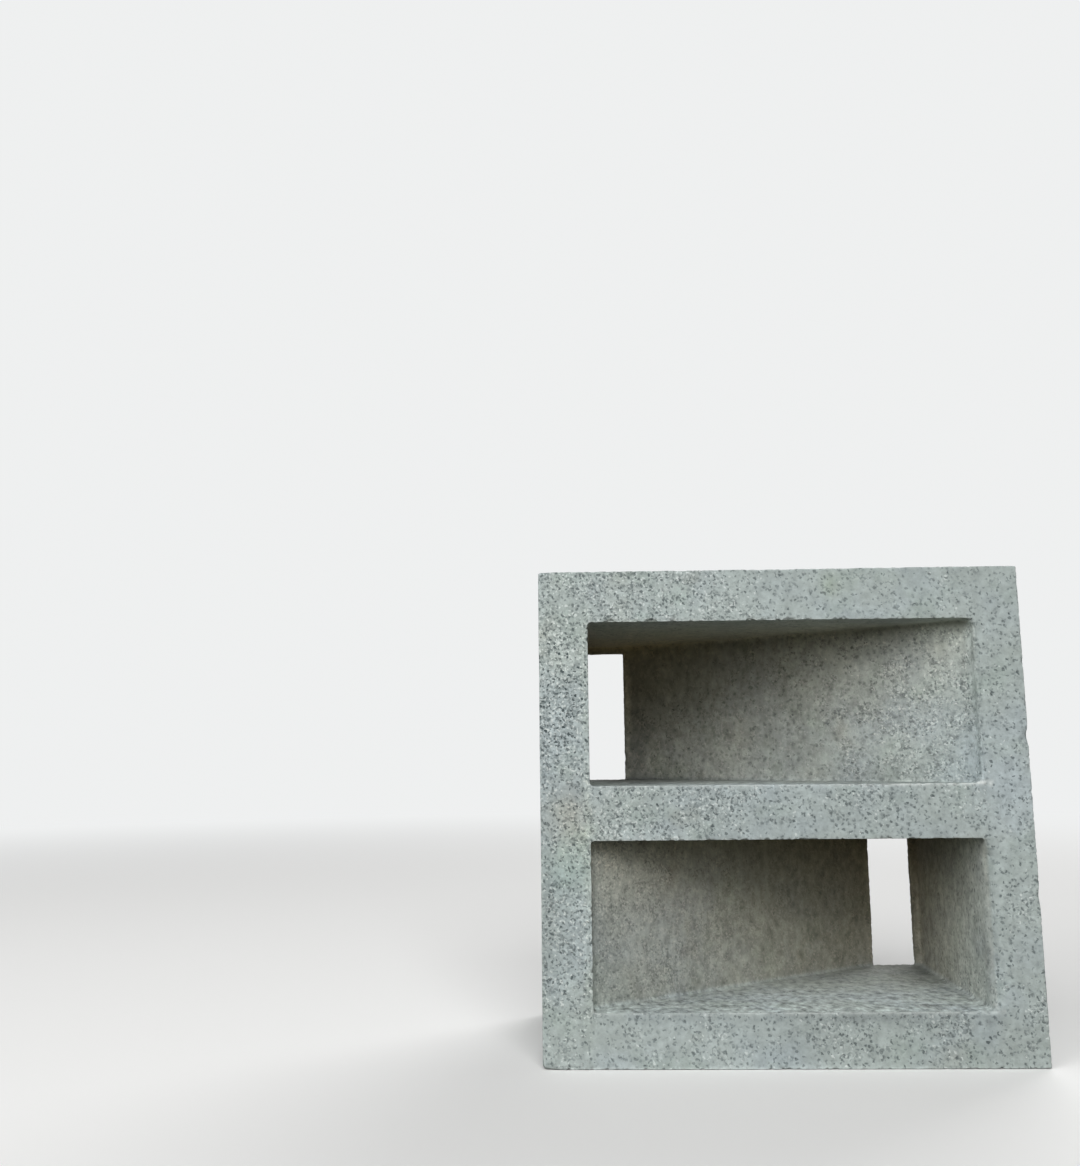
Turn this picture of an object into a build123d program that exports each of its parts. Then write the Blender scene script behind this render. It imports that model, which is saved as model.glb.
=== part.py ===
"""Concrete ventilation block, 200 x 200 x 100 mm, cast in one piece.

Two cells, one above the other, open in the front face. The back of each cell is a slanted
face that runs from just behind the front at one end to the back skin at the other, where a
tall slot goes right through. The slots are at opposite ends of the two cells.

Frame: origin in the middle of the bottom face, X across the front, +Z up, front towards -Y.
"""
from build123d import *
import os

# Overall size
block_width = 200.0
block_height = 200.0
block_depth = 100.0

# Frame round the cells, as it shows in the front face
side_frame = 20.25
rail_height = 21.5
web_height = 22.0

# Inside of a cell
ramp_start_depth = 8.0
back_skin = 3.0
ceiling_fall = 2.0
floor_rise = 0.3
ramp_corner_radius = 2.5

# Slot at the deep end of a cell
slot_width = 18.5
slot_side_land = 3.0
slot_head_land = 3.0

# Worn edges
arris_radius = 1.0
mouth_radius = 0.6

# How far a cutting shape stands out past the face it opens
overcut = 5.0

front_y = -block_depth / 2
back_y = block_depth / 2
pocket_depth = block_depth - back_skin
cell_width = block_width - 2 * side_frame
cell_height = (block_height - 2 * rail_height - web_height) / 2
slot_height = cell_height - ceiling_fall - floor_rise - slot_head_land
lower_floor = rail_height
upper_floor = rail_height + cell_height + web_height


def make_cell(floor_height, slot_side):
    """Empty space of one cell; slot_side is +1 for a slot at the +X end and -1 at the -X end."""
    deep_wall_x = slot_side * cell_width / 2
    shallow_wall_x = -deep_wall_x
    ramp_foot_x = deep_wall_x - slot_side * (slot_width + 2 * slot_side_land)
    slot_x = deep_wall_x - slot_side * (slot_side_land + slot_width / 2)
    ramp_start_y = front_y + ramp_start_depth
    skin_y = front_y + pocket_depth
    mouth_y = front_y - overcut
    # The floor and ceiling slopes carry on in front of the face, so the mouth keeps its height
    slope_floor = floor_rise / pocket_depth
    slope_ceiling = ceiling_fall / pocket_depth

    with BuildPart() as cell:
        with BuildSketch(Plane.XY.offset(floor_height - overcut)):
            with BuildLine():
                Polyline(
                    (deep_wall_x, mouth_y),
                    (deep_wall_x, skin_y),
                    (ramp_foot_x, skin_y),
                    (shallow_wall_x, ramp_start_y),
                    (shallow_wall_x, mouth_y),
                    close=True,
                )
            make_face()
        extrude(amount=cell_height + 2 * overcut)
        with BuildSketch(Plane.YZ):
            with BuildLine():
                Polyline(
                    (mouth_y, floor_height - slope_floor * overcut),
                    (skin_y, floor_height + floor_rise),
                    (skin_y, floor_height + cell_height - ceiling_fall),
                    (mouth_y, floor_height + cell_height + slope_ceiling * overcut),
                    close=True,
                )
            make_face()
        extrude(amount=cell_width, both=True, mode=Mode.INTERSECT)
        ramp = cell.faces().filter_by(lambda face: abs(face.normal_at().X * face.normal_at().Y) > 0.05)
        ramp_ends = ramp.edges().filter_by(Axis.Z, reverse=True)
        fillet(ramp_ends, ramp_corner_radius)
        with BuildSketch(Plane.XZ.offset(-skin_y)):
            with Locations((slot_x, floor_height + floor_rise + slot_height / 2)):
                Rectangle(slot_width, slot_height)
        extrude(amount=-(back_skin + overcut))
    return cell.part


lower_cell = make_cell(lower_floor, slot_side=1)
upper_cell = make_cell(upper_floor, slot_side=-1)

with BuildPart() as vent_block:
    with BuildSketch(Plane.XY):
        Rectangle(block_width, block_depth)
    extrude(amount=block_height)
    fillet(vent_block.edges(), arris_radius)
    add(lower_cell, mode=Mode.SUBTRACT)
    add(upper_cell, mode=Mode.SUBTRACT)
    front_face = vent_block.faces().sort_by(Axis.Y)[0]
    fillet(front_face.inner_wires().edges(), mouth_radius)

vent_block.part.label = "vent_block"

os.makedirs("parts", exist_ok=True)
export_step(vent_block.part, "parts/vent_block.step")

print(f"volume {vent_block.part.volume / 1e6:.3f} litres")
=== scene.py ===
"""Looks of the concrete ventilation block.

The block is one cast piece. Its visible mesh is a grid laid over the block's true form and drawn
onto it: the arrises are rounded and crumbled, the cast faces undulate a little, and the slots have
the ragged edges of knocked-out flash. Lengths are millimetres until a mesh is written in metres.
"""
import math

import bmesh
import bpy
import numpy as np
from mathutils import Matrix, Vector


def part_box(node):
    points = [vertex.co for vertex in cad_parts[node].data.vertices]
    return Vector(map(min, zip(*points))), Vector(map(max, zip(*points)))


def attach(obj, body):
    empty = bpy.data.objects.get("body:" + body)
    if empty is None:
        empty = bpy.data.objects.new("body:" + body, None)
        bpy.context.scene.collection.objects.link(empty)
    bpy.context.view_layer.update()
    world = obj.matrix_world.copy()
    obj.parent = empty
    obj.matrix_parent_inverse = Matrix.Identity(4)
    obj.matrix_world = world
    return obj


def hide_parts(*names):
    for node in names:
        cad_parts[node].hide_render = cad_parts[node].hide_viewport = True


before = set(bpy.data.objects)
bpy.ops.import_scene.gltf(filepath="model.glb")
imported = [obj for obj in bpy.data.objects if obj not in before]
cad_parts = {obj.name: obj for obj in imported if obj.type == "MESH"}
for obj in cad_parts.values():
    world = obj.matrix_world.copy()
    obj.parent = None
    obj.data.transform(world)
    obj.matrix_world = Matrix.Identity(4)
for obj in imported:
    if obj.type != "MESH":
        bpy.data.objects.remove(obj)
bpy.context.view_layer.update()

MM = 0.001
block_low, block_high = (np.array(corner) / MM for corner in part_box("vent_block"))
BLOCK_CENTRE = (block_low + block_high) / 2
BLOCK_HALF = (block_high - block_low) / 2
FRONT_Y, BACK_Y = block_low[1], block_high[1]
TOP_Z = block_high[2]

# Depth of the cells and slopes of their floors and ceilings, as in the CAD model
BACK_SKIN = 3.0
POCKET_DEPTH = BACK_Y - FRONT_Y - BACK_SKIN
SKIN_Y = FRONT_Y + POCKET_DEPTH
RAMP_START_DEPTH = 8.0
CEILING_FALL = 2.0
FLOOR_RISE = 0.3

# The two cells as the photograph shows them, up to 2.3 mm off the CAD model: soft_mouth is the radius
# of the mouth's right-hand arris, and slot_side is 1 where the slot is at the right
CELLS = {
    "lower": dict(left=-79.3, right=79.5, floor=21.6, ceiling=88.6, slot_side=1, floor_fillet=1.4,
                  right_fillet=1.6, soft_mouth=6.5, ramp_foot=54.6, slot_left=57.0, slot_right=76.5,
                  slot_head=84.6),
    "upper": dict(left=-79.3, right=80.5, floor=110.8, ceiling=178.2, slot_side=-1, floor_fillet=1.0,
                  right_fillet=4.0, soft_mouth=3.0, ramp_foot=-56.6, slot_left=-78.2, slot_right=-60.5,
                  slot_head=173.0),
}

# Grid spacing over the surface and the most triangles that the mesh is thinned to
FINE_STEP = 0.4
COARSE_STEP = 0.85
SKIN_FINE_STEP = 0.6
SKIN_COARSE_STEP = 0.9
STEP_GROWTH = 1.3
SHORTEST_LAST_STEP = 0.4
TRIANGLE_BUDGET = 190000

# Slack for places on a grid line, and how finely welding tells points apart
SAME_PLACE = 1e-6
WELD_PLACES_PER_MM = 1e4

# How far beside the cells' end walls the grid moves with them
WALL_SHIFT_REACH = 18.0

# Fillets that both cells have, and how far a slot's empty space reaches into its cell
RAMP_FOOT_FILLET = 1.2
CEILING_FILLET = 1.5
LEFT_FILLET = 1.6
SLOT_OVERLAP = 6.0

# Rounding of the mouths' arrises: crisp, but soft down the right-hand side of each mouth, in full as
# deep as MOUTH_DEPTH and gone at twice that; and of the slots' edges
MOUTH_CRISP = 0.2
MOUTH_SOFT_REACH = 2.4
MOUTH_SOFT_PLATEAU = 1.6
MOUTH_SOFT_END = 7.0
MOUTH_SOFT_FOOT = 0.3
MOUTH_DEPTH = 15.0
SLOT_ROUNDING = 0.9

# Radius of the outer arrises, its slow and quick changes and crisper foot as strength and size, its
# limits, and the radius that counts as sharp
ARRIS_RADIUS = 0.45
ARRIS_SLOW = (0.18, 24.0)
ARRIS_QUICK = (0.2, 6.0)
FOOT_CRISPER = (0.2, 3.0)
ARRIS_LIMITS = (0.25, 2.6)
SHARP_RADIUS = 0.05

# Swells of the faces and ragged edges of the slots, as strength and lump size
SWELL_SLOW = (0.10, 55.0)
SWELL_QUICK = (0.05, 13.0)
RAGGED_SLOW = (0.14, 6.0)
RAGGED_QUICK = (0.12, 2.0)

# Crumbs and bites out of the arrises, as lump size, noise level where they start and gain
FINE_CRUMBS = (1.7, 0.12, 0.8)
COARSE_CRUMBS = (3.6, 0.3, 1.0)
BITES = (7.0, 0.58, 3.0)
CRUMB_REACH = 0.9
BITE_REACH = 1.5
CHIP_REACH = 1.5

# The upper mouth's top arris crumbles more, from one place along x to another
TOP_CRUMBLING = 1.6
TOP_CRUMBLING_HEIGHT = 3.0
TOP_CRUMBLING_START = 20.0
TOP_CRUMBLING_FULL = -40.0

# Drawing the grid onto the form
DRAW_ROUNDS = 5
SLOPE_STEP = 0.02
LEAST_SLOPE = 0.3
LONGEST_MOVE = 1.5

# Seeds: broad, middle and small relief and bites, and the uneven edges of the stains and of the painted
# light and shade
RELIEF_SEEDS = (3, 8, 21, 34)
PATCH_EDGE_SEED = 55

# Outer corners of the front face that are worn rounder: x, z, reach and extra radius
WORN_CORNERS = [
    (-100, 200, 5, 0.9),
    (-100, 0, 6, 1.8),
    (100, 0, 4, 0.5),
    (100, 200, 3, 0.4),
]

# Chips out of the front arrises: x, z, half width, half height, depth
CHIPS = [
    (100, 129.5, 1.6, 2.2, 1.1),
    (100, 66, 1.2, 2.6, 0.5),
    (-70, 178.8, 2, 0.6, 0.6),
    (-62.5, 178.8, 1, 0.6, 0.6),
    (-52, 178.8, 1.6, 0.6, 0.5),
    (-100, 21, 1.2, 2, 0.6),
]

# Stains and painted light and shade on the front face, and painted light and shade inside the cells: x,
# z, half width, half height, and the factor for all three colours or one for each
FRONT_STAINS_AND_PAINTED_LIGHT = [
    (-88, 98, 8, 11, (1.05, 0.98, 0.91)),
    (-89, 78, 9, 10, (0.95, 1.01, 0.97)),
    (22, 193, 3.6, 5, (0.93, 0.96, 0.86)),
    (31, 19.7, 40, 2.2, (0.7, 0.7, 0.71)),
    (-48, 20, 30, 1.8, 0.88),
    (62, 8, 42, 14, (0.94, 0.94, 0.93)),
    (0, 100, 95, 9, 0.97),
    (92, 105, 10, 22, (1.1, 1.1, 1.11)),
    # Painted shade down the right-hand arrises of the mouths, painted light down the left-hand ones
    (81.2, 143, 1.4, 46, 0.87),
    (82, 54, 2.8, 42, 0.92),
    (-80.6, 145, 1.7, 55, (1.09, 1.09, 1.05)),
    (-80.9, 55, 1.7, 55, (1.09, 1.09, 1.06)),
    (-92, 163, 9, 28, (1.12, 1.12, 1.1)),
    (-92, 38, 9, 26, (1.08, 1.08, 1.06)),
    (-60, 192, 38, 10, (1.06, 1.06, 1.07)),
    (-60, 9, 44, 12, 1.08),
    (50, 192, 46, 10, 0.96),
    (92, 160, 9, 26, 0.96),
    # Painted shadow along the top edge, painted light along the foot
    (0, 200, 130, 2.4, 0.92),
    (0, 0, 130, 0.9, 1.5),
    (0, 3, 130, 3, 1.06),
    # Painted shadow down the left-hand side
    (-97.5, 58, 4.5, 30, 0.86),
    (-90, 105, 7, 7, 0.9),
    (-58, 182, 24, 3, 1.1),
    (-62, 90.5, 24, 2.6, 1.1),
    (76, 18.5, 9, 3.6, 0.89),
    (4, 13, 20, 7, 0.92),
    (52, 9, 14, 5, 1.07),
]
# Patches of painted light and shade on the cells' faces
INNER_PAINTED_LIGHT_AND_SHADE = [
    (-48, 121, 4, 6, (1.25, 1.25, 1.22)),
    (44, 151, 2.2, 2.5, 0.78),
    (-73, 84, 9, 8, (1.16, 1.16, 1.15)),
    (66, 172, 18, 6, (1.2, 1.2, 1.19)),
    (-55, 52, 22, 34, (0.92, 0.92, 0.93)),
    (12, 169, 24, 6, (1.06, 1.06, 1.05)),
    (76, 140, 6, 40, 0.95),
    (-79, 50, 2.5, 45, 1.1),
    (-50, 156, 14, 8, (0.77, 0.76, 0.71)),
    (-58.6, 146, 1.5, 24, (1.75, 1.7, 1.62)),
    (-57, 131, 11.5, 33, 0.6),
    (48, 113, 34, 6, 0.81),
    (18, 124, 13, 8, 0.87),
    (36, 163, 21, 11, 1.24),
    (70, 174, 12, 5, (1.36, 1.38, 1.4)),
    (18, 176, 16, 3, 1.12),
    (48, 177.5, 14, 2, 0.84),
    (-14, 117, 22, 8, (1.08, 1.08, 1.09)),
    (-14, 162, 13, 6, 0.9),
    (-54, 174, 28, 4, 1.42),
    (4, 76, 30, 8, 0.83),
    (-56, 73, 16, 7, 1.1),
    (-68, 56, 15, 24, 1.1),
    (-36, 40, 6, 12, 0.87),
    (-42, 23, 26, 4.5, 0.78),
    (-63, 27, 5, 6, 0.86),
    (70, 22, 10, 3, 0.87),
]

# Uneven edges of the stains and of the painted light and shade, and the depths where the front face's
# patches have ended and are full
PATCH_UNEVENNESS = 0.3
PATCH_LUMPS = 5.0
FRONT_PATCH_DEPTHS = (16, 2)

# Front face: where flakes crowd along x and z, the height and half height of their densest band,
# their share outside it, and two calmer zones as ends along z and x
FRONT_CROWDED_X = (35, -95)
FRONT_CROWDED_Z = (15, 26)
FRONT_BAND = (148, 26)
FRONT_SHARE_OUTSIDE = 0.72
TOP_RIGHT_ZONE = ((176, 186), (-40, 10))
TOP_RIGHT_CROWDING = 0.3
TOP_RIGHT_CALM = 0.15
BOTTOM_LEFT_ZONE = ((22, 12), (20, -30))
BOTTOM_LEFT_CALM = 0.2

# What counts as inside the cells: plateau and fade beside their faces, distance behind the front and
# margin as a share of their height; and the reach of a single face and of an arris
INSIDE_PLATEAU = 1.6
INSIDE_FADE = 1.2
INSIDE_START = 2.5
CELL_MARGIN = 0.1
FACE_REACH = 1.2
ARRIS_REACH = 0.6

# Speckle in both cells: calmer floor, ceiling and upper end of the back, rougher right wall
CALM_FLOOR = 0.35
CALM_CEILING = 0.5
ROUGH_WALL = 0.9
ROUGH_WALL_START = (5, 16)
CALM_CORNER = 0.6
CALM_CORNER_START = (0.42, 0.62)

# Smears and dust in both cells
SMEAR_DEEPER = 0.6
SMEAR_RIGHT = 0.3
SMEAR_FLOOR = 4.0
SMEAR_FLOOR_FALL = 3.0
SMEAR_CEILING = 0.5
DUST_FLOOR = 0.4

# Dusty film with painted warm shade in both cells, and its lean in colour per unit
FILM_SHADE_UPPER_BACK = 0.12
FILM_SHADE_TOP = 0.08
FILM_SHADE_LESS_RIGHT = 0.4
FILM_SHADE_CEILING = 0.06
FILM_SHADE_CEILING_DEEPER = 0.32
FILM_SHADE_FLOOR = 0.08
FILM_SHADE_LEAN = (0.35, -0.5, -1.4)

# Painted shade in both cells: of the back, of the floor and of a patch of the floor
BACK_SHADE_FOOT = 0.85
BACK_SHADE_RISE = 0.3
FLOOR_DEEPER = 0.6
FLOOR_PATCH_SHADE = 0.12
FLOOR_PATCH_BEHIND = 12.0
FLOOR_PATCH_HALF = 5.0
FLOOR_PATCH_X = (-10, 20)

# Painted light on a stretch of the right wall, turning to painted shade towards its top, with its middle
# and half length as shares of the depth
WALL_PAINTED_STRETCH = 0.13
WALL_PAINTED_STRETCH_FALL = 0.38
WALL_PAINTED_STRETCH_TOP = (0.5, 0.85)
WALL_PAINTED_STRETCH_DEPTH = (0.7, 0.4)

# Painted shade on the mouths' right rim, and their pale lower lip, which runs a little past the right
# wall
RIM_OFFSET = 0.4
RIM_HALF_WIDTH = 2.0
RIM_DEPTH = 4.5
LIP_REACH = 0.8
LIP_DULL = 0.3
LIP_OVERRUN = 4.0

# How each cell's inner faces look: share of flakes and where they crowd along x, strength of the
# speckle, its fading with depth, its gathering in patches, smears, dust at the mouth, dusty film with
# painted warm shade there and its growth with depth, painted shade at the back and the depth where it
# is full, painted shade on the ceiling and its growth with depth, painted shade on the floor, painted
# light on the right wall, painted shade on the rim beside it, and the lower lip's brightness and where
# along x it is brightest
CELL_LOOKS = {
    "lower": dict(crowding=0.7, crowded_from=(10, -70), calm=0.64, calmer=0.50, patchy=0.4,
                  smear=1.15, dust=0.5, film_and_shade=0.04, deep_film_and_shade=0.13, deep_shade=0.46, full_depth=1.0,
                  ceiling_shade=(0.22, 0.45), floor_shade=-0.21, wall_painted_light=0.08, rim_shade=0.19,
                  lip=0.42, bright_lip=(-80, 60)),
    "upper": dict(crowding=0.75, crowded_from=(5, 60), calm=0.78, calmer=-0.40, patchy=1.0,
                  smear=1.0, dust=0.1, film_and_shade=-0.02, deep_film_and_shade=0.145, deep_shade=0.34, full_depth=0.65,
                  ceiling_shade=(0.03, 0.18), floor_shade=0.02, wall_painted_light=0.24, rim_shade=0.05,
                  lip=1.0, bright_lip=(20, 45)),
}


class Noise:
    """Smooth gradient noise in space, about -1 to 1, the same on every run."""

    ENTRIES = 256
    GAIN = 1.6

    def __init__(self, seed):
        rng = np.random.default_rng(seed)
        self.table = rng.permutation(self.ENTRIES)
        directions = rng.normal(size=(self.ENTRIES, 3))
        self.directions = directions / np.linalg.norm(directions, axis=1, keepdims=True)

    def __call__(self, points, size):
        """Value at each point, for lumps of about this size in millimetres along each axis."""
        place = points / np.asarray(size, dtype=float)
        corner = np.floor(place).astype(int)
        inside = place - corner
        weight = inside ** 3 * (inside * (inside * 6 - 15) + 10)
        total = np.zeros(len(points))
        for dx in (0, 1):
            for dy in (0, 1):
                for dz in (0, 1):
                    step = np.array((dx, dy, dz))
                    ix, iy, iz = ((corner + step) % self.ENTRIES).T
                    entry = self.table[ix]
                    entry = self.table[(entry + iy) % self.ENTRIES]
                    entry = self.table[(entry + iz) % self.ENTRIES]
                    lean = np.einsum("ij,ij->i", self.directions[entry], inside - step)
                    share = np.where(step == 1, weight, 1 - weight).prod(axis=1)
                    total += lean * share
        return total * self.GAIN


def graded(start, end, fine=FINE_STEP, coarse=COARSE_STEP):
    """Places from start to end, close together at both ends and wider apart in the middle."""
    half = (end - start) / 2
    places, step = [0.0], fine
    while places[-1] + step < half:
        places.append(places[-1] + step)
        step = min(step * STEP_GROWTH, coarse)
    places = np.array(places)
    if half - places[-1] < step * SHORTEST_LAST_STEP:
        places = places[:-1]
    return np.concatenate([start + places, [start + half], end - places[::-1]])


def lines_through(*breaks, **spacing):
    """Graded places through several break points, each break point once."""
    runs = [graded(a, b, **spacing)[:-1] for a, b in zip(breaks, breaks[1:])]
    return np.concatenate(runs + [[breaks[-1]]])


def between(lines, low, high):
    """The part of some grid lines from low to high, both included."""
    return lines[(lines > low - SAME_PLACE) & (lines < high + SAME_PLACE)]


def depth_at(cell, x):
    """How far behind the front the back of a cell lies at x: the ramp, then the flat nose."""
    shallow_wall = cell["left"] if cell["slot_side"] > 0 else cell["right"]
    along = (x - shallow_wall) / (cell["ramp_foot"] - shallow_wall)
    return RAMP_START_DEPTH + (POCKET_DEPTH - RAMP_START_DEPTH) * np.clip(along, 0, 1)


class Patches:
    """Grid patches that are welded where their edges meet."""

    def __init__(self):
        self.corners = []

    def add(self, u_lines, v_lines, place, holes=()):
        """Adds the quads of a u, v grid; place gives the points, holes are boxes without quads."""
        u, v = np.meshgrid(u_lines, v_lines, indexing="ij")
        points = np.stack(np.broadcast_arrays(*place(u, v)), axis=-1)
        quads = np.stack([points[:-1, :-1], points[1:, :-1], points[1:, 1:], points[:-1, 1:]], axis=2)
        mid_u = (u[:-1, :-1] + u[1:, 1:]) / 2
        mid_v = (v[:-1, :-1] + v[1:, 1:]) / 2
        open_here = np.zeros(mid_u.shape, dtype=bool)
        for u_low, u_high, v_low, v_high in holes:
            open_here |= (mid_u > u_low) & (mid_u < u_high) & (mid_v > v_low) & (mid_v < v_high)
        self.corners.append(quads[~open_here].reshape(-1, 4, 3))

    def weld(self):
        """Points and quads of the joined patches."""
        corners = np.concatenate(self.corners).reshape(-1, 3)
        keys = np.round(corners * WELD_PLACES_PER_MM).astype(np.int64)
        _, first, joined = np.unique(keys, axis=0, return_index=True, return_inverse=True)
        return corners[first], joined.reshape(-1, 4)


def level_on_grid(cell, level):
    """Height that a grid line needs to reach this level at the back, once the cell is sloped."""
    slope = -(CEILING_FALL + FLOOR_RISE) / (cell["ceiling"] - cell["floor"])
    return (level - FLOOR_RISE + cell["floor"] * slope) / (1 + slope)


def block_grid():
    """Points and quads of the block with sharp arrises and level cell floors and ceilings."""
    lower, upper = CELLS["lower"], CELLS["upper"]
    wall_left = (lower["left"] + upper["left"]) / 2
    wall_right = (lower["right"] + upper["right"]) / 2
    x_lines = lines_through(block_low[0], wall_left, upper["slot_left"], upper["slot_right"],
                            upper["ramp_foot"], lower["ramp_foot"], lower["slot_left"],
                            lower["slot_right"], wall_right, block_high[0])
    heads = {name: level_on_grid(cell, cell["slot_head"]) for name, cell in CELLS.items()}
    z_lines = lines_through(0, lower["floor"], heads["lower"], lower["ceiling"],
                            upper["floor"], heads["upper"], upper["ceiling"], TOP_Z)
    y_lines = lines_through(FRONT_Y, BACK_Y)
    skin_lines = lines_through(SKIN_Y, BACK_Y, fine=SKIN_FINE_STEP, coarse=SKIN_COARSE_STEP)
    t_lines = (lines_through(FRONT_Y, SKIN_Y) - FRONT_Y) / POCKET_DEPTH
    mouths = [(wall_left, wall_right, cell["floor"], cell["ceiling"]) for cell in CELLS.values()]
    slots = [(cell["slot_left"], cell["slot_right"], cell["floor"], heads[name])
             for name, cell in CELLS.items()]
    patches = Patches()
    patches.add(x_lines, z_lines, lambda x, z: (x, FRONT_Y, z), mouths)
    patches.add(x_lines, z_lines, lambda x, z: (x, BACK_Y, z), slots)
    for side in (block_low[0], block_high[0]):
        patches.add(y_lines, z_lines, lambda y, z: (side, y, z))
    for level in (0.0, TOP_Z):
        patches.add(x_lines, y_lines, lambda x, y: (x, y, level))

    for name, cell in CELLS.items():
        x_cell = between(x_lines, wall_left, wall_right)
        z_cell = between(z_lines, cell["floor"], cell["ceiling"])
        x_slot = between(x_lines, cell["slot_left"], cell["slot_right"])
        z_slot = between(z_lines, cell["floor"], heads[name])
        nominal = dict(cell, left=wall_left, right=wall_right)

        def back_y(x):
            return FRONT_Y + depth_at(nominal, x)

        patches.add(x_cell, z_cell, lambda x, z: (x, back_y(x), z), slots)
        for level in (cell["floor"], cell["ceiling"]):
            patches.add(x_cell, t_lines,
                        lambda x, t: (x, FRONT_Y + t * (back_y(x) - FRONT_Y), level))
        for wall in (wall_left, wall_right):
            patches.add(t_lines, z_cell,
                        lambda t, z: (wall, FRONT_Y + t * (back_y(wall) - FRONT_Y), z))
        for side in (cell["slot_left"], cell["slot_right"]):
            patches.add(skin_lines, z_slot, lambda y, z: (side, y, z))
        for level in (cell["floor"], heads[name]):
            patches.add(x_slot, skin_lines, lambda x, y: (x, y, level))

    points, quads = patches.weld()
    return shift_walls(slope_cells(points), wall_left, wall_right), quads


def spread(z, at_foot, at_cells, at_top):
    """Values between the block's foot, each cell's floor and ceiling, and its top, at heights z."""
    levels = [0, *(cell[level] for cell in CELLS.values() for level in ("floor", "ceiling")), TOP_Z]
    return np.interp(z, levels, [at_foot, *at_cells, at_top])


def slope_cells(points):
    """Lets floors rise and ceilings fall towards the back, and spreads that between them."""
    depth = np.clip((points[:, 1] - FRONT_Y) / POCKET_DEPTH, 0, None)
    moved = points.copy()
    moved[:, 2] += depth * spread(points[:, 2], 0, [FLOOR_RISE, -CEILING_FALL] * len(CELLS), 0)
    return moved


def shift_walls(points, wall_left, wall_right):
    """Moves the cells' end walls from their common place to each cell's own."""
    x, _, z = points.T
    shift = np.zeros(len(points))
    for side, wall in (("left", wall_left), ("right", wall_right)):
        own = [cell[side] for cell in CELLS.values() for _ in ("floor", "ceiling")]
        near = np.clip(1 - np.abs(x - wall) / WALL_SHIFT_REACH, 0, 1)
        shift += (spread(z, wall, own, wall) - wall) * near
    moved = points.copy()
    moved[:, 0] += shift
    return moved


def round_max(a, b, radius):
    """Greater of two distances, with the edge where they cross rounded to a radius."""
    over_a, over_b = np.maximum(a + radius, 0), np.maximum(b + radius, 0)
    return np.minimum(np.maximum(a, b), -radius) + np.hypot(over_a, over_b)


def cell_faces(cell, points):
    """Distances outside the floor, ceiling, slanted back, back skin, left and right wall of a cell."""
    x, y, z = points.T
    depth = (y - FRONT_Y) / POCKET_DEPTH
    below = cell["floor"] + FLOOR_RISE * depth - z
    above = z - (cell["ceiling"] - CEILING_FALL * depth)
    side = cell["slot_side"]
    shallow_x = cell["left"] if side > 0 else cell["right"]
    along = np.array([cell["ramp_foot"] - shallow_x, POCKET_DEPTH - RAMP_START_DEPTH])
    normal = np.array([-along[1], along[0]]) / np.hypot(*along) * side
    ramp = (x - shallow_x) * normal[0] + (y - FRONT_Y - RAMP_START_DEPTH) * normal[1]
    return below, above, ramp, y - SKIN_Y, cell["left"] - x, x - cell["right"]


def cell_distance(cell, points):
    """Distance to the empty space of a cell, without its slot; negative inside it."""
    below, above, ramp, skin, left, right = cell_faces(cell, points)
    back = round_max(ramp, skin, RAMP_FOOT_FILLET)
    faces = round_max(below, back, cell["floor_fillet"])
    faces = round_max(faces, above, CEILING_FILLET)
    faces = round_max(faces, left, LEFT_FILLET)
    return round_max(faces, right, cell["right_fillet"])


def slot_distance(cell, points):
    """Distance to the empty space of a slot through the back skin; negative inside it."""
    x, y, z = points.T
    middle = (cell["slot_left"] + cell["slot_right"]) / 2
    half = (cell["slot_right"] - cell["slot_left"]) / 2
    sides = np.abs(x - middle) - half
    level = np.maximum(cell["floor"] + FLOOR_RISE - z, z - cell["slot_head"])
    return np.maximum(np.maximum(sides, level), SKIN_Y - SLOT_OVERLAP - y)


def surface_parts(points, arris):
    """Distances to the outer block, the cells and the slots."""
    away = np.abs(points - BLOCK_CENTRE) - BLOCK_HALF
    inner = away + arris[:, None]
    outer = (np.minimum(inner.max(axis=1), 0)
             + np.linalg.norm(np.maximum(inner, 0), axis=1) - arris)
    cells = np.minimum(*(cell_distance(c, points) for c in CELLS.values()))
    slots = np.minimum(*(slot_distance(c, points) for c in CELLS.values()))
    return outer, cells, slots, away


def edge_nearness(points):
    """Distance of each surface point from the nearest arris of the block, mouths and slots."""
    outer, cells, slots, away = surface_parts(points, np.full(len(points), SHARP_RADIUS))
    arris = -np.sort(away, axis=1)[:, 1]
    void = np.minimum(cells, slots)
    mouth = np.maximum(np.abs(outer), np.abs(void))
    slot_edge = np.maximum(np.abs(cells), np.abs(slots))
    return np.minimum(np.minimum(np.abs(arris), mouth), slot_edge)


def lumps(noise, points, strength, size):
    """Noise of this strength with lumps of this size."""
    return strength * noise(points, size)


def broken_out(noise, points, size, level, gain):
    """Depth lost where a noise with lumps of this size passes a level."""
    return np.clip(noise(points, size) - level, 0, None) * gain


def arris_radius(points, broad, middle):
    """Radius of the block's outer arrises near each point."""
    radius = ARRIS_RADIUS + lumps(broad, points, *ARRIS_SLOW) + lumps(middle, points, *ARRIS_QUICK)
    crisper, height = FOOT_CRISPER
    radius -= crisper * np.exp(-(points[:, 2] / height) ** 2)
    for x, z, reach, extra in WORN_CORNERS:
        away = np.hypot(points[:, 0] - x, points[:, 2] - z)
        radius += extra * np.exp(-(away / reach) ** 2)
    return np.clip(radius, *ARRIS_LIMITS)


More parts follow.
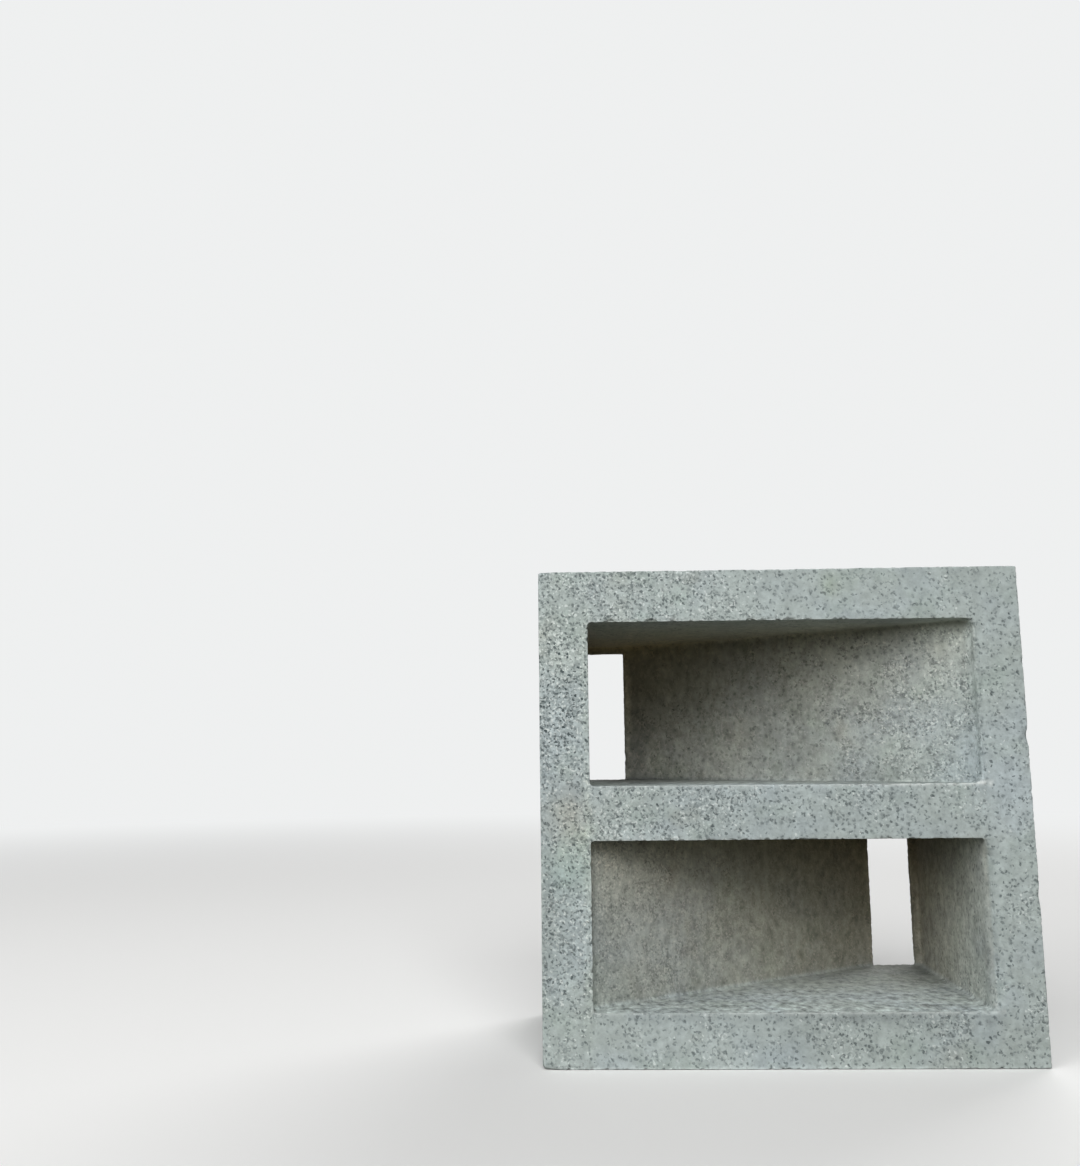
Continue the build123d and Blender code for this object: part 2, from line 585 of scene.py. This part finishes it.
def relief(points):
    """How deep the cast surface lies below the true form, and how round and ragged its edges are."""
    broad, middle, small, bite = (Noise(seed) for seed in RELIEF_SEEDS)
    near = edge_nearness(points)
    arris = arris_radius(points, broad, middle)
    slow, slow_size = SWELL_SLOW
    quick, quick_size = SWELL_QUICK
    swell = slow * (1 + broad(points, slow_size)) + quick * (1 + middle(points, quick_size))
    crumbs = broken_out(small, points, *FINE_CRUMBS) + broken_out(middle, points, *COARSE_CRUMBS)
    bites = broken_out(bite, points, *BITES)
    above_mouth = np.exp(-((points[:, 2] - CELLS["upper"]["ceiling"]) / TOP_CRUMBLING_HEIGHT) ** 2)
    leftwards = (TOP_CRUMBLING_START - points[:, 0]) / (TOP_CRUMBLING_START - TOP_CRUMBLING_FULL)
    crumbling = 1 + TOP_CRUMBLING * above_mouth * np.clip(leftwards, 0, 1)
    sunk = swell + (crumbs * crumbling * np.exp(-(near / CRUMB_REACH) ** 2)
                    + bites * np.exp(-(near / BITE_REACH) ** 2))
    for x, z, half_width, half_height, depth in CHIPS:
        away = np.hypot((points[:, 0] - x) / half_width, (points[:, 2] - z) / half_height)
        sunk += depth * np.exp(-away ** 2 - ((points[:, 1] - FRONT_Y) / CHIP_REACH) ** 2)
    ragged = lumps(middle, points, *RAGGED_SLOW) + lumps(small, points, *RAGGED_QUICK)
    return sunk, arris, ragged


def mouth_rounding(points):
    """Radius of the arris between the front face and the cells at each point."""
    radius = np.full(len(points), MOUTH_CRISP)
    for cell in CELLS.values():
        reach = MOUTH_SOFT_REACH * cell["soft_mouth"]
        beside = np.clip(1 - np.abs(points[:, 0] - cell["right"]) / reach, 0, 1)
        down = np.clip((cell["ceiling"] - points[:, 2]) / MOUTH_SOFT_END, 0, 1)
        up = np.clip((points[:, 2] - cell["floor"]) / MOUTH_SOFT_END + MOUTH_SOFT_FOOT, 0, 1)
        in_front = np.clip(2 - (points[:, 1] - FRONT_Y) / MOUTH_DEPTH, 0, 1)
        soft = np.minimum(beside * MOUTH_SOFT_PLATEAU, 1) * down * up * in_front
        radius = np.maximum(radius, MOUTH_CRISP + (cell["soft_mouth"] - MOUTH_CRISP) * soft)
    return radius


def drawn_onto_form(points):
    """Moves grid points along the slope of the distance until they lie on the cast surface."""
    sunk, arris, ragged = relief(points)
    rounding = mouth_rounding(points)

    def distance(places):
        outer, cells, slots, _ = surface_parts(places, arris)
        solid = round_max(-cells, -slots - ragged, SLOT_ROUNDING)
        return round_max(outer, solid, rounding) + sunk

    for _ in range(DRAW_ROUNDS):
        here = distance(points)
        slope = np.stack([(distance(points + SLOPE_STEP * axis) - here) / SLOPE_STEP
                          for axis in np.eye(3)], axis=1)
        length = np.maximum(np.linalg.norm(slope, axis=1, keepdims=True), LEAST_SLOPE)
        move = np.clip(here, -LONGEST_MOVE, LONGEST_MOVE)
        points = points - slope / length ** 2 * move[:, None]
    return points


def add_object(name, data):
    """A new object in the scene with this mesh, camera or lamp."""
    piece = bpy.data.objects.new(name, data)
    bpy.context.scene.collection.objects.link(piece)
    return piece


def write_mesh(name, points, faces):
    """A mesh object from millimetre points."""
    mesh = bpy.data.meshes.new(name)
    mesh.from_pydata((points * MM).tolist(), [], faces.tolist())
    mesh.validate()
    return add_object(name, mesh)


def apply_modifiers(piece):
    """Replaces a piece's mesh by what its modifiers make of it."""
    graph = bpy.context.evaluated_depsgraph_get()
    finished = bpy.data.meshes.new_from_object(piece.evaluated_get(graph))
    piece.modifiers.clear()
    piece.data = finished


def mesh_points(mesh):
    """Points of a mesh in millimetres."""
    flat = np.empty(len(mesh.vertices) * 3)
    mesh.vertices.foreach_get("co", flat)
    return flat.reshape(-1, 3) / MM


def smooth_step(values, start, end):
    """0 at the start and 1 at the end, with a smooth step between them."""
    share = np.clip((values - start) / (end - start), 0, 1)
    return share * share * (3 - 2 * share)


def tint_patches(tint, points, stains, uneven, where):
    """Multiplies the tint by oval stains and painted light and shade seen from the front, fading out at
    uneven edges.
    """
    for x, z, half_width, half_height, factors in stains:
        away = np.hypot((points[:, 0] - x) / half_width, (points[:, 2] - z) / half_height)
        share = np.exp(-(away * (1 + PATCH_UNEVENNESS * uneven)) ** 2) * where
        tint *= 1 + share[:, None] * (np.array(factors) - 1)


def front_texture(points):
    """Crowding of flakes and strength of the speckle on the front face."""
    x, _, z = points.T
    top_right, bottom_left = (smooth_step(z, *ends_z) * smooth_step(x, *ends_x)
                              for ends_z, ends_x in (TOP_RIGHT_ZONE, BOTTOM_LEFT_ZONE))
    height, half_height = FRONT_BAND
    band = np.exp(-((z - height) / half_height) ** 4)
    crowding = smooth_step(x, *FRONT_CROWDED_X) * smooth_step(z, *FRONT_CROWDED_Z)
    crowding *= FRONT_SHARE_OUTSIDE + (1 - FRONT_SHARE_OUTSIDE) * band
    crowding -= TOP_RIGHT_CROWDING * top_right
    calm = 1 - TOP_RIGHT_CALM * top_right - BOTTOM_LEFT_CALM * bottom_left
    return crowding, calm


class InCell:
    """Where each surface point lies in a cell, and how much it belongs to each of its faces."""

    def __init__(self, cell, points, inside):
        self.x, y, self.z = points.T
        self.behind = y - FRONT_Y
        self.depth = np.clip(self.behind / POCKET_DEPTH, 0, 1)
        up = (self.z - cell["floor"]) / (cell["ceiling"] - cell["floor"])
        self.here = inside * (up > -CELL_MARGIN) * (up < 1 + CELL_MARGIN)
        self.up = np.clip(up, 0, 1)
        below, above, *_, past_right = cell_faces(cell, points)
        self.floor, self.ceiling, self.right = (
            self.here * np.exp(-(face / FACE_REACH) ** 2) for face in (below, above, past_right))
        self.standing = self.here * (1 - np.maximum(self.floor, self.ceiling))


def cell_speckle(at, look, calm):
    """Strength of the speckle, with a cell's calmer and rougher faces."""
    calm = calm + at.here * (look["calm"] * (1 - look["calmer"] * at.depth) - calm)
    rough = at.right * smooth_step(at.behind, *ROUGH_WALL_START) * (1 - at.depth)
    corner = at.standing * smooth_step(at.up * at.depth, *CALM_CORNER_START)
    return calm - calm * (CALM_FLOOR * at.floor + CALM_CEILING * at.ceiling - ROUGH_WALL * rough
                          + CALM_CORNER * corner)


def cell_smears(at, look):
    """Strength of the smears on a cell's faces."""
    walls = look["smear"] * (1 + SMEAR_DEEPER * at.depth) * (1 + SMEAR_RIGHT * at.right * (1 - at.depth))
    floor = SMEAR_FLOOR - SMEAR_FLOOR_FALL * at.depth
    return at.standing * walls + at.floor * floor + at.ceiling * SMEAR_CEILING


def cell_film_and_shade(at, look):
    """Thickness of the dusty film with painted warm shade on a cell's faces."""
    walls = (look["film_and_shade"] + look["deep_film_and_shade"] * at.depth + FILM_SHADE_UPPER_BACK * at.depth * at.up
             + FILM_SHADE_TOP * at.up ** 3) * (1 - FILM_SHADE_LESS_RIGHT * at.right * (1 - at.depth))
    ceiling = FILM_SHADE_CEILING + FILM_SHADE_CEILING_DEEPER * at.depth
    return at.standing * walls + at.ceiling * ceiling + at.floor * FILM_SHADE_FLOOR * at.depth


def painted_cell_shade(at, look, right_wall):
    """How much darker than the front face a cell's faces are painted: painted shade, and painted light on
    the right wall.
    """
    back = look["deep_shade"] * smooth_step(at.depth, 0, look["full_depth"])
    back = back * (BACK_SHADE_FOOT + BACK_SHADE_RISE * at.up)
    ceiling_start, ceiling_gain = look["ceiling_shade"]
    middle, half_length = WALL_PAINTED_STRETCH_DEPTH
    painted_light = WALL_PAINTED_STRETCH - WALL_PAINTED_STRETCH_FALL * smooth_step(at.up, *WALL_PAINTED_STRETCH_TOP)
    painted_light = painted_light * np.exp(-((at.depth - middle) / half_length) ** 2)
    patch = np.exp(-((at.behind - FLOOR_PATCH_BEHIND) / FLOOR_PATCH_HALF) ** 2)
    patch = FLOOR_PATCH_SHADE * patch * smooth_step(at.x, *FLOOR_PATCH_X)
    beside = (at.x - right_wall - RIM_OFFSET) / RIM_HALF_WIDTH
    rim = np.exp(-beside ** 2 - (at.behind / RIM_DEPTH) ** 2) * (at.up > 0) * (at.up < 1)
    return (at.standing * back
            + at.floor * (FLOOR_DEEPER * at.depth + look["floor_shade"] + patch)
            + at.ceiling * (ceiling_start + ceiling_gain * at.depth)
            - at.right * (look["wall_painted_light"] + painted_light) + look["rim_shade"] * rim)


def cell_lip(at, look, cell):
    """Brightness of the lower lip of a cell's mouth."""
    away = np.hypot(at.z - cell["floor"], at.behind) / LIP_REACH
    along = look["lip"] * (LIP_DULL + (1 - LIP_DULL) * smooth_step(at.x, *look["bright_lip"]))
    ends = (at.x > cell["left"]) * (at.x < cell["right"] + LIP_OVERRUN)
    return np.exp(-away ** 2) * along * ends


def mark_surface(mesh):
    """Point attributes that tell the material where it is: arrises and the cells, and a tint of stains,
    dusty film and painted light and shade.
    """
    points = mesh_points(mesh)
    behind = points[:, 1] - FRONT_Y
    _, cells, slots, _ = surface_parts(points, np.full(len(points), SHARP_RADIUS))
    near_cells = np.clip(INSIDE_PLATEAU - np.abs(np.minimum(cells, slots)) / INSIDE_FADE, 0, 1)
    inside = near_cells * np.clip(behind / INSIDE_START, 0, 1)
    uneven = Noise(PATCH_EDGE_SEED)(points, PATCH_LUMPS)

    crowding, calm = front_texture(points)
    smear, dust, inner, ledge = np.zeros((4, len(points)))
    tint = np.ones((len(points), 3))
    tint_patches(tint, points, FRONT_STAINS_AND_PAINTED_LIGHT, uneven, (1 - inside) * smooth_step(behind, *FRONT_PATCH_DEPTHS))
    for name, cell in CELLS.items():
        look = CELL_LOOKS[name]
        at = InCell(cell, points, inside)
        crowded = look["crowding"] * smooth_step(at.x, *look["crowded_from"]) * at.standing
        crowding = crowding * (1 - at.here) + crowded
        calm = cell_speckle(at, look, calm)
        smear += cell_smears(at, look)
        dust += at.standing * (look["dust"] + (1 - look["dust"]) * at.depth) + at.floor * DUST_FLOOR
        inner += at.standing * look["patchy"]
        ledge += cell_lip(at, look, cell)
        # Painted shade and light of the cells, and their dusty film with painted warm shade
        film_and_shade = cell_film_and_shade(at, look)[:, None] * np.array(FILM_SHADE_LEAN)
        tint *= (1 - painted_cell_shade(at, look, cell["right"]))[:, None] * (1 + film_and_shade)
    tint_patches(tint, points, INNER_PAINTED_LIGHT_AND_SHADE, uneven, inside)

    arris = np.exp(-(edge_nearness(points) / ARRIS_REACH) ** 2)
    marks = dict(arris=arris, ledge=ledge, crowding=crowding, calm=calm, smear=smear, dust=dust,
                 inner=inner)
    for name, values in marks.items():
        layer = mesh.attributes.new(name, "FLOAT", "POINT")
        layer.data.foreach_set("value", values.astype(np.float32))
    layer = mesh.attributes.new("tint", "FLOAT_COLOR", "POINT")
    colours = np.column_stack([tint, np.ones(len(points))]).astype(np.float32)
    layer.data.foreach_set("color", colours.ravel())


def make_block():
    """The block's visible mesh, thinned to the triangle budget."""
    points, quads = block_grid()
    block = write_mesh("vent_block_cast", drawn_onto_form(points), quads)
    shape = bmesh.new()
    shape.from_mesh(block.data)
    bmesh.ops.recalc_face_normals(shape, faces=shape.faces)
    bmesh.ops.triangulate(shape, faces=shape.faces)
    shape.to_mesh(block.data)
    shape.free()
    count = len(block.data.polygons)
    print("grid triangles", count)
    thin = block.modifiers.new("thin", "DECIMATE")
    thin.ratio = min(1.0, TRIANGLE_BUDGET / count)
    apply_modifiers(block)
    print("kept triangles", len(block.data.polygons))
    block.data.polygons.foreach_set("use_smooth", [True] * len(block.data.polygons))
    mark_surface(block.data)
    return block


block = make_block()
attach(block, "root")
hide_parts("vent_block")


# Spread of the material's noises, lumps in the grains' edges and strength of the faintest grain
NOISE_SPREAD = 1.6
GRAIN_EDGE_LUMPS = 0.9
FAINTEST_GRAIN = 0.45


class Nodes:
    """Adds nodes to a node tree and wires them."""

    def __init__(self, tree):
        self.nodes = tree.nodes
        self.links = tree.links

    def put(self, socket, value):
        """Sets an input to a number or colour, or wires an output to it."""
        if isinstance(value, bpy.types.NodeSocket):
            self.links.new(value, socket)
        else:
            socket.default_value = value

    def node(self, kind, *values, **settings):
        """A new node with these settings and these values in its first inputs."""
        node = self.nodes.new("ShaderNode" + kind)
        for name, setting in settings.items():
            setattr(node, name, setting)
        for socket, value in zip(node.inputs, values):
            self.put(socket, value)
        return node

    def math(self, operation, *values):
        return self.node("Math", *values, operation=operation).outputs[0]


class Shading(Nodes):
    """Nodes of a new material; lengths are millimetres in the block's frame."""

    def __init__(self, name):
        self.material = bpy.data.materials.new(name)
        self.material.use_nodes = True
        super().__init__(self.material.node_tree)
        self.shader = self.nodes["Principled BSDF"]
        self.output = self.nodes["Material Output"]
        self.place = self.vector("SCALE", self.node("TexCoord").outputs["Object"], scale=1 / MM)

    def vector(self, operation, *values, scale=None):
        node = self.node("VectorMath", *values, operation=operation)
        if scale is not None:
            self.put(node.inputs["Scale"], scale)
        return node.outputs["Vector"]

    def add(self, *values):
        total = values[0]
        for value in values[1:]:
            total = self.math("ADD", total, value)
        return total

    def times(self, *values):
        total = values[0]
        for value in values[1:]:
            total = self.math("MULTIPLY", total, value)
        return total

    def line(self, value, gain, start):
        """Start plus a value times a gain."""
        return self.math("MULTIPLY_ADD", value, gain, start)

    def noise(self, size, detail=2.0, roughness=0.5, shift=0.0, place=None):
        """Smooth noise from about -1 to 1 with lumps of this size, one size or one for each axis."""
        sizes = size if isinstance(size, tuple) else (size, size, size)
        scaled = self.vector("MULTIPLY", place or self.place, tuple(1 / s for s in sizes))
        moved = self.vector("ADD", scaled, (shift, shift * 0.7, -shift))
        node = self.node("TexNoise", moved)
        node.inputs["Scale"].default_value = 1.0
        node.inputs["Detail"].default_value = detail
        node.inputs["Roughness"].default_value = roughness
        return self.line(node.outputs[0], 2 * NOISE_SPREAD, -NOISE_SPREAD)

    def ramp(self, value, low, high, start=0.0, end=1.0):
        """Start below low, end above high, and a smooth step between them."""
        return self.node("MapRange", value, low, high, start, end,
                         interpolation_type="SMOOTHSTEP").outputs[0]

    def grains(self, pitch, smallest, largest, chance, shift, place, soft=0.45, ragged=0.0):
        """Mask of grains strewn in space, a grain in this share of the cells of a pitch."""
        scaled = self.vector("SCALE", place, scale=1 / pitch)
        moved = self.vector("ADD", scaled, (shift, -shift, shift * 0.3))
        node = self.node("TexVoronoi", moved)
        node.inputs["Scale"].default_value = 1.0
        parts = self.node("SeparateColor", node.outputs["Color"])
        present = self.math("LESS_THAN", parts.outputs[0], chance)
        spread = (largest - smallest) / pitch
        radius = self.line(parts.outputs[1], spread, smallest / pitch)
        core = self.times(radius, 1 - soft)
        edge = self.noise(GRAIN_EDGE_LUMPS, detail=1.0, shift=shift)
        away = self.line(edge, ragged, node.outputs["Distance"])
        mask = self.ramp(away, core, radius, 1.0, 0.0)
        strength = self.line(parts.outputs[2], 1 - FAINTEST_GRAIN, FAINTEST_GRAIN)
        return self.times(mask, present, strength)

    def attribute(self, name, output="Fac"):
        return self.node("Attribute", attribute_name=name).outputs[output]

    def mix(self, factor, first, second, blend="MIX"):
        """Mix of two colours."""
        node = self.node("Mix", factor, data_type="RGBA", blend_type=blend)
        for socket, value in zip(node.inputs[6:8], (first, second)):
            self.put(socket, (*value, 1.0) if isinstance(value, tuple) else value)
        return node.outputs[2]

    def colour(self, red, green, blue):
        return self.node("CombineColor", red, green, blue).outputs[0]

    def bump(self, height):
        """Normal of a surface with this height in millimetres."""
        node = self.node("Bump")
        node.inputs["Strength"].default_value = 1.0
        node.inputs["Distance"].default_value = MM
        self.put(node.inputs["Height"], height)
        return node.outputs[0]


# Paste and grains of the concrete, as linear colours
PASTE = (0.408, 0.462, 0.446)
PASTE_COOL = (0.393, 0.450, 0.459)
PASTE_GREEN = (0.373, 0.436, 0.407)
DARK_GRAIN = (0.065, 0.085, 0.088)
GREY_GRAIN = (0.225, 0.265, 0.255)
PALE_GRAIN = (0.74, 0.79, 0.77)
PALE_ARRIS = (0.52, 0.565, 0.545)
PALE_LIP = (0.72, 0.76, 0.74)
BROWN_STAIN = (0.35, 0.355, 0.295)

# Areas of the paste in another colour: lump size, detail, shift, the noise levels between which they
# grow, and their full strength
PASTE_AREAS = [
    (PASTE_COOL, 30.0, 2.0, 8.8, (-0.4, 0.7), 1.0),
    (PASTE_GREEN, 17.0, 2.0, 12.3, (0.05, 0.9), 0.8),
    (BROWN_STAIN, 26.0, 3.0, 15.1, (0.25, 1.1), 0.5),
]

# Grains that show at the surface, with their sizes in millimetres
SPECKS = dict(pitch=2.2, smallest=0.6, largest=1.5, shift=13.0, soft=0.8, ragged=0.16)
PORES = dict(pitch=1.45, smallest=0.35, largest=0.8, shift=33.0, soft=0.3, ragged=0.25)
FLECKS = dict(pitch=1.3, smallest=0.25, largest=0.7, shift=23.0, soft=0.3, ragged=0.25)

# Chance of a grain in each place: gain with the density of the texture, and chance without it
SPECK_CHANCE = 0.78
PORE_CHANCE = (0.72, 0.17)
FLECK_CHANCE = (1.0, -0.04)

# Bending of the space that the grains lie in: lump size and strength across and up
BEND_LUMPS = 1.6
BEND_ACROSS = 0.6
BEND_UP = -0.4

# Roughness of the concrete, its change from place to place, and the specular level
ROUGHNESS = 0.9
ROUGHNESS_CHANGE = 0.05
SPECULAR = 0.3


def bent_place(s):
    """The block's space bent a little, so that the grains in it aren't round."""
    one, other = (s.noise(BEND_LUMPS, detail=1.0, shift=shift) for shift in (3.1, 9.7))
    across = (s.times(noise, BEND_ACROSS) for noise in (one, other))
    offset = s.node("CombineXYZ", *across, s.times(s.add(one, other), BEND_UP))
    return s.vector("ADD", s.place, offset.outputs[0])


def paste_colour(s):
    """Grey paste with cooler, greener and brown areas."""
    base = PASTE
    for colour, size, detail, shift, levels, strength in PASTE_AREAS:
        area = s.ramp(s.noise(size, detail=detail, shift=shift), *levels, 0.0, strength)
        base = s.mix(area, base, colour)
    return base


def curved_strokes(s, bent, cluster):
    """Masks of curved strokes and of the pale rims beside them, within clusters of fine sand."""
    away = s.math("ABSOLUTE", s.noise(2.6, detail=1.0, shift=61.0, place=bent))
    broken = s.ramp(s.noise(2.2, detail=1.0, shift=67.0), -0.15, 0.2)
    strokes = s.times(s.ramp(away, 0.08, 0.28, 1.0, 0.0), broken, cluster)
    rims = s.times(s.ramp(away, 0.26, 0.38), s.ramp(away, 0.44, 0.6, 1.0, 0.0), broken, cluster)
    return strokes, rims


def dusty_wisps(s, bent, dust):
    """Masks of pale wisps and of dust where it lies in the cells."""
    away = s.math("ABSOLUTE", s.noise((1.7, 1.7, 2.6), detail=1.0, shift=83.0, place=bent))
    broken = s.ramp(s.noise(2.8, detail=1.0, shift=87.0), -0.1, 0.4)
    wisps = s.times(s.ramp(away, 0.05, 0.25, 1.0, 0.0), broken, dust)
    grains = s.ramp(s.noise(1.5, detail=1.0, shift=77.0, place=bent), 0.2, 0.9)
    return wisps, s.times(grains, dust)


def concrete_material():
    """Dense grey concrete with dark and pale grains, pores, faint stains, and painted light and shade
    from the tint.
    """
    s = Shading("concrete")
    bent = bent_place(s)
    calm, crowding, inner, dust = (s.attribute(name) for name in ("calm", "crowding", "inner", "dust"))
    zone = s.noise(21.0, shift=1.7)
    dense = s.ramp(s.add(s.times(zone, 0.55), s.times(crowding, 0.7)), -0.2, 0.85)

    # In the cells the texture gathers in patches with smooth paste between them
    patch = s.ramp(s.add(s.noise(6.5, detail=1.0, shift=91.0), s.times(crowding, 0.3)), 0.05, 0.3)
    smooth = s.times(inner, s.math("SUBTRACT", 1.0, patch))
    gathered = s.line(smooth, -0.75, 1.0)

    # Brightness of the paste, from broad areas to fine grain
    broad = s.noise(46.0, shift=5.3)
    middle = s.noise(9.5, shift=2.2)
    small = s.noise(2.8, shift=7.9)
    fine = s.noise(1.1, detail=1.0, roughness=0.6, shift=4.4, place=bent)
    smear = s.times(s.noise((3.4, 4.6, 5.2), detail=3.0, roughness=0.6, shift=41.0),
                    s.attribute("smear"))
    small_share = s.times(s.line(dense, -0.03, 0.19), s.line(calm, 0.75, 0.25), s.line(smooth, -0.4, 1.0))
    fine_share = s.times(s.line(dense, 0.24, 0.08), calm, gathered)
    tone = s.add(1.0, s.times(broad, 0.04), s.times(middle, 0.09), s.times(small, small_share),
                 s.times(fine, fine_share), s.times(smear, 0.26))
    base = s.mix(1.0, paste_colour(s), s.colour(tone, tone, tone), "MULTIPLY")

    # Grey ghosts of grains under the skin, specks and pores at the surface, and pale flecks
    flake = s.noise(2.4, roughness=0.6, shift=31.0, place=bent)
    ghosts = s.ramp(s.math("SUBTRACT", s.line(dense, 0.25, -0.42), flake), 0.0, 0.3)
    specks = s.grains(place=bent, chance=SPECK_CHANCE, **SPECKS)
    pores = s.grains(place=bent, chance=s.line(dense, *PORE_CHANCE), **PORES)
    flecks = s.grains(place=bent, chance=s.line(dense, *FLECK_CHANCE), **FLECKS)
    pores = s.times(pores, gathered, s.line(s.ramp(crowding, 0.66, 1.0), 0.3, 0.75))
    flecks = s.times(flecks, gathered)

    # Curved strokes with pale rims, where fine sand shows in clusters, and pale wisps in the cells
    cluster = s.ramp(s.add(s.noise(7.0, detail=1.0, shift=71.0), s.times(dense, 0.75)), 0.22, 0.55)
    strokes, rims = curved_strokes(s, bent, s.times(cluster, gathered))
    wisps, dusted = dusty_wisps(s, bent, dust)
    worn = s.ramp(s.noise(3.4, shift=17.0), -0.5, 0.5)
    lip = s.ramp(s.noise(4.0, shift=19.0), -1.0, 0.0)

    layers = [
        (s.times(ghosts, calm, s.line(inner, 0.08, 0.32)), GREY_GRAIN),
        (s.times(rims, 0.2), PALE_GRAIN),
        (s.times(flecks, s.math("POWER", calm, 0.5), 0.7), PALE_GRAIN),
        (s.times(wisps, 0.42), PALE_GRAIN),
        (s.times(strokes, s.line(dust, -0.1, 0.4)), DARK_GRAIN),
        (s.times(specks, calm, s.line(dust, -0.35, 0.8)), DARK_GRAIN),
        (s.times(pores, calm), DARK_GRAIN),
        (s.times(dusted, 0.42), PALE_GRAIN),
        (s.times(s.attribute("arris"), worn, 0.5), PALE_ARRIS),
        (s.times(s.attribute("ledge"), lip), PALE_LIP),
    ]
    for share, colour in layers:
        base = s.mix(share, base, colour)
    # The tint paints light and shade, with the stains and the dusty film
    base = s.mix(1.0, base, s.attribute("tint", "Color"), "MULTIPLY")
    s.put(s.shader.inputs["Base Color"], base)
    s.put(s.shader.inputs["Roughness"], s.line(small, ROUGHNESS_CHANGE, ROUGHNESS))
    s.shader.inputs["Specular IOR Level"].default_value = SPECULAR

    # Heights of the surface in millimetres
    heights = [(small, 0.045), (fine, 0.03), (s.times(ghosts, calm), -0.02),
               (s.times(specks, calm), -0.06), (s.times(pores, calm), -0.12), (flecks, 0.03),
               (smear, 0.06)]
    height = s.add(*(s.times(mask, millimetres) for mask, millimetres in heights))
    s.put(s.shader.inputs["Normal"], s.bump(height))
    return s.material


block.data.materials.clear()
block.data.materials.append(concrete_material())

# Camera where the photograph was taken from: millimetres and degrees, clip distances in metres
CAMERA_FOCAL_PX = 1132.0
PHOTO_HEIGHT_PX = 1166
CAMERA_PLACE = (-86.2, -522.0, 124.9)
CAMERA_PITCH = 8.484
CAMERA_YAW = 1.561
CAMERA_ROLL = -0.578
SENSOR_WIDTH = 36.0
CLIP_START = 0.01
CLIP_END = 50.0


def make_camera():
    """The scene's camera, with the photograph's place and angle of view."""
    data = bpy.data.cameras.new("camera")
    data.sensor_fit = "AUTO"
    data.sensor_width = SENSOR_WIDTH
    data.lens = CAMERA_FOCAL_PX / PHOTO_HEIGHT_PX * data.sensor_width
    data.clip_start = CLIP_START
    data.clip_end = CLIP_END
    camera = add_object("camera", data)
    pitch, yaw, roll = (math.radians(a) for a in (CAMERA_PITCH, CAMERA_YAW, CAMERA_ROLL))
    turn = (Matrix.Rotation(yaw, 4, "Z") @ Matrix.Rotation(math.pi / 2 + pitch, 4, "X")
            @ Matrix.Rotation(roll, 4, "Z"))
    camera.matrix_world = Matrix.Translation([c * MM for c in CAMERA_PLACE]) @ turn
    bpy.context.scene.camera = camera


make_camera()


# Stage: pale to the camera, darker as light that comes back from it, as bare ground would be; the
# floor's size and fade are in metres
BACKDROP = (0.86, 0.87, 0.87)
FLOOR_PALE = (0.88, 0.88, 0.87)
FLOOR_BOUNCE = (0.055, 0.048, 0.034)
FLOOR_HALF_SIZE = 8.0
FLOOR_FADE = (0.55, 1.9)
SKY_STRENGTH = 0.03

# Lamps that look at the middle of the front face: azimuth and elevation in degrees, distance and
# size in metres, watts
LAMPS = {
    "front_high": (0, 40, 3.0, 1.8, 50.2),
    "front_low": (0, 20, 3.0, 1.8, 21.2),
    "left_low": (-50, 20, 3.0, 1.8, 37.4),
    "left_high": (-50, 60, 3.0, 1.8, 13.8),
    "behind": (150, 40, 3.0, 1.8, 42.0),
}
LAMP_AIM = Vector((0, FRONT_Y * MM, TOP_Z / 2 * MM))


def seen_directly(wiring):
    """Output that is 1 where the camera, a mirror or glass looks, and 0 for light that bounces."""
    path = wiring.node("LightPath")
    direct = path.outputs["Is Camera Ray"]
    for ray in ("Is Glossy Ray", "Is Transmission Ray"):
        direct = wiring.math("MAXIMUM", direct, path.outputs[ray])
    return direct


def floor_material():
    """Matte floor that fades into the backdrop with distance and keeps the block's shadow."""
    s = Shading("floor")
    s.nodes.remove(s.shader)
    direct = seen_directly(s)
    matte = s.node("BsdfDiffuse", s.mix(direct, FLOOR_BOUNCE, FLOOR_PALE))
    glow = s.node("Emission", (*BACKDROP, 1))
    length = s.node("VectorMath", s.place, operation="LENGTH")
    near, far = (metres / MM for metres in FLOOR_FADE)
    fade = s.times(s.ramp(length.outputs["Value"], near, far), direct)
    both = s.node("MixShader", fade, matte.outputs[0], glow.outputs[0])
    s.put(s.output.inputs["Surface"], both.outputs[0])
    return s.material


def make_floor():
    """Plain level floor under the block."""
    half = FLOOR_HALF_SIZE
    mesh = bpy.data.meshes.new("floor")
    mesh.from_pydata([(-half, -half, 0), (half, -half, 0), (half, half, 0), (-half, half, 0)], [],
                     [(0, 1, 2, 3)])
    floor = add_object("floor", mesh)
    floor.data.materials.append(floor_material())


def make_world():
    """Faint even light, and the backdrop for what looks past the block."""
    world = bpy.data.worlds.new("world")
    bpy.context.scene.world = world
    world.use_nodes = True
    wiring = Nodes(world.node_tree)
    sky = wiring.nodes["Background"]
    sky.inputs["Color"].default_value = (1, 1, 1, 1)
    sky.inputs["Strength"].default_value = SKY_STRENGTH
    backdrop = wiring.node("Background", (*BACKDROP, 1))
    both = wiring.node("MixShader", seen_directly(wiring), sky.outputs[0], backdrop.outputs[0])
    wiring.put(wiring.nodes["World Output"].inputs["Surface"], both.outputs[0])


def make_lamp(name, azimuth, elevation, distance, size, watts):
    """Square soft box that looks at the block; azimuth 0 is in front and goes towards +X."""
    lamp = bpy.data.lights.new(name, "AREA")
    lamp.shape = "SQUARE"
    lamp.size = size
    lamp.energy = watts
    piece = add_object(name, lamp)
    turn, rise = math.radians(azimuth), math.radians(elevation)
    towards = Vector((math.sin(turn) * math.cos(rise), -math.cos(turn) * math.cos(rise), math.sin(rise)))
    piece.location = LAMP_AIM + towards * distance
    piece.rotation_mode = "QUATERNION"
    piece.rotation_quaternion = towards.to_track_quat("Z", "Y")


make_floor()
make_world()
for lamp_name, lamp_values in LAMPS.items():
    make_lamp(lamp_name, *lamp_values)
bpy.context.scene.view_settings.view_transform = "Standard"
